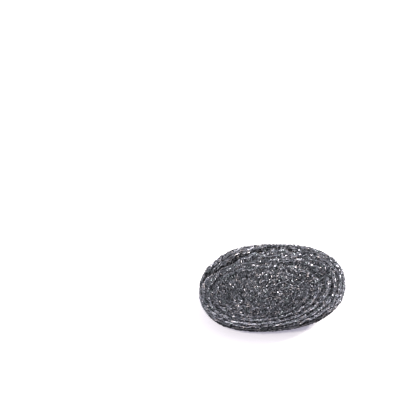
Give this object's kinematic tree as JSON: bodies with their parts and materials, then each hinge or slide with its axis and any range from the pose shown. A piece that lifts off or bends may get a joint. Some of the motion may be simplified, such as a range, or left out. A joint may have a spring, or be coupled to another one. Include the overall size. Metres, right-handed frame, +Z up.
{
  "type": "metal scourer",
  "caption": "Round knitted wire scourer: a sleeve of galvanised wire loops wound into a ridged bun, with its end lapped and tucked in on top.",
  "frame": {"origin": "middle of the bounding box in plan, on the surface that the scourer rests on", "axes": "+Z up, through the bun's thickness; -Y is the side that the picture shows, and +X its right side"},
  "size_m": [0.0864, 0.0864, 0.0355],
  "materials": {
    "wire": "dull grey galvanised wire with bright glints, knitted in small loops"
  },
  "bodies": {
    "root": {"knitted_sleeve": "wire"}
  },
  "joints": []
}
